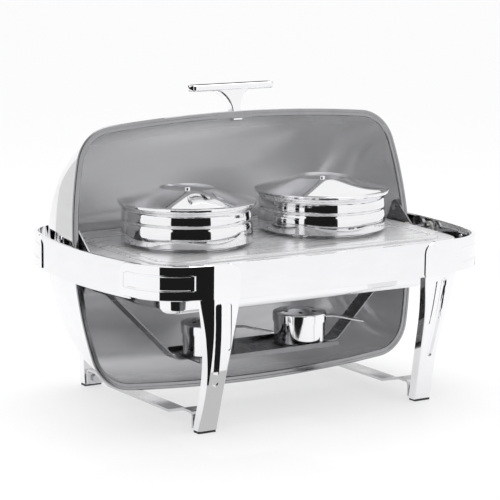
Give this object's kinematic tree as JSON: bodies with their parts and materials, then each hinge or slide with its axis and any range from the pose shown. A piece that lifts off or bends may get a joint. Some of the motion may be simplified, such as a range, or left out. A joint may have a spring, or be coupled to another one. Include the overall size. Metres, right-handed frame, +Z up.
{
  "type": "chafing dish food warmer",
  "caption": "Free-standing buffet food warmer: cast legs and sheet bands carry a water pan with lidded soup pots, burners on a hung shelf and a half-barrel roll-top cover on side pivots.",
  "frame": {"origin": "middle of the floor rectangle that the stand covers, at the underside of the feet", "axes": "+X to the right along the long side, +Y to the rear, +Z up; the cover opens towards the rear"},
  "size_m": [0.66, 0.46, 0.4995],
  "materials": {
    "cast_chrome": "mirror polished casting",
    "polished_steel": "polished stainless steel sheet",
    "brushed_steel": "satin stainless steel",
    "fastener_steel": "plain zinc-coloured steel",
    "pad_rubber": "matte",
    "bush_plastic": "plain nylon"
  },
  "bodies": {
    "stand": {"leg_front_left": "cast_chrome", "leg_front_right": "cast_chrome", "leg_rear_left": "cast_chrome", "leg_rear_right": "cast_chrome", "front_band": "polished_steel", "rear_band": "polished_steel", "left_band": "polished_steel", "right_band": "polished_steel", "band_nuts": "fastener_steel", "foot_pads": "pad_rubber", "left_brace": "brushed_steel", "right_brace": "brushed_steel", "brace_bolts": "fastener_steel", "left_pivot_stud": "fastener_steel", "right_pivot_stud": "fastener_steel", "stud_nuts": "fastener_steel", "pan_carrier": "polished_steel", "carrier_end_left": "brushed_steel", "carrier_end_right": "brushed_steel", "burner_shelf": "brushed_steel", "shelf_screws": "fastener_steel", "burner_cup_left": "polished_steel", "burner_cup_right": "polished_steel"},
    "cover": {"cover_shell": "polished_steel", "cover_rim": "polished_steel", "cover_handle": "cast_chrome", "handle_screws": "fastener_steel", "left_pivot_arm": "brushed_steel", "right_pivot_arm": "brushed_steel", "arm_screws": "fastener_steel", "pivot_bushes": "bush_plastic"},
    "water_pan": {"water_pan": "polished_steel"},
    "pot_plate": {"pot_plate": "polished_steel"},
    "pot_left": {"pot_left": "polished_steel"},
    "pot_right": {"pot_right": "polished_steel"},
    "lid_left": {"lid_left": "polished_steel", "lid_knob_left": "cast_chrome"},
    "lid_right": {"lid_right": "polished_steel", "lid_knob_right": "cast_chrome"},
    "burner_lid_left": {"burner_lid_left": "polished_steel", "burner_handle_left": "brushed_steel"},
    "burner_lid_right": {"burner_lid_right": "polished_steel", "burner_handle_right": "brushed_steel"}
  },
  "joints": [
    {"name": "cover_hinge", "type": "hinge", "parent": "stand", "child": "cover", "pos_m": [0, 0, 0.242], "axis": [-1, 0, 0], "range_deg": [-99, 60]},
    {"name": "water_pan_lift", "type": "slide", "parent": "stand", "child": "water_pan", "axis": [0, 0, 1], "range_m": [0, 0.025]},
    {"name": "pot_plate_lift", "type": "slide", "parent": "water_pan", "child": "pot_plate", "axis": [0, 0, 1], "range_m": [0, 0.015]},
    {"name": "pot_left_lift", "type": "slide", "parent": "pot_plate", "child": "pot_left", "axis": [0, 0, 1], "range_m": [0, 0.025]},
    {"name": "pot_right_lift", "type": "slide", "parent": "pot_plate", "child": "pot_right", "axis": [0, 0, 1], "range_m": [0, 0.025]},
    {"name": "lid_left_lift", "type": "slide", "parent": "pot_left", "child": "lid_left", "axis": [0, 0, 1], "range_m": [0, 0.025]},
    {"name": "lid_right_lift", "type": "slide", "parent": "pot_right", "child": "lid_right", "axis": [0, 0, 1], "range_m": [0, 0.025]},
    {"name": "burner_lid_left_lift", "type": "slide", "parent": "stand", "child": "burner_lid_left", "axis": [0, 0, 1], "range_m": [0, 0.035]},
    {"name": "burner_lid_right_lift", "type": "slide", "parent": "stand", "child": "burner_lid_right", "axis": [0, 0, 1], "range_m": [0, 0.035]}
  ]
}
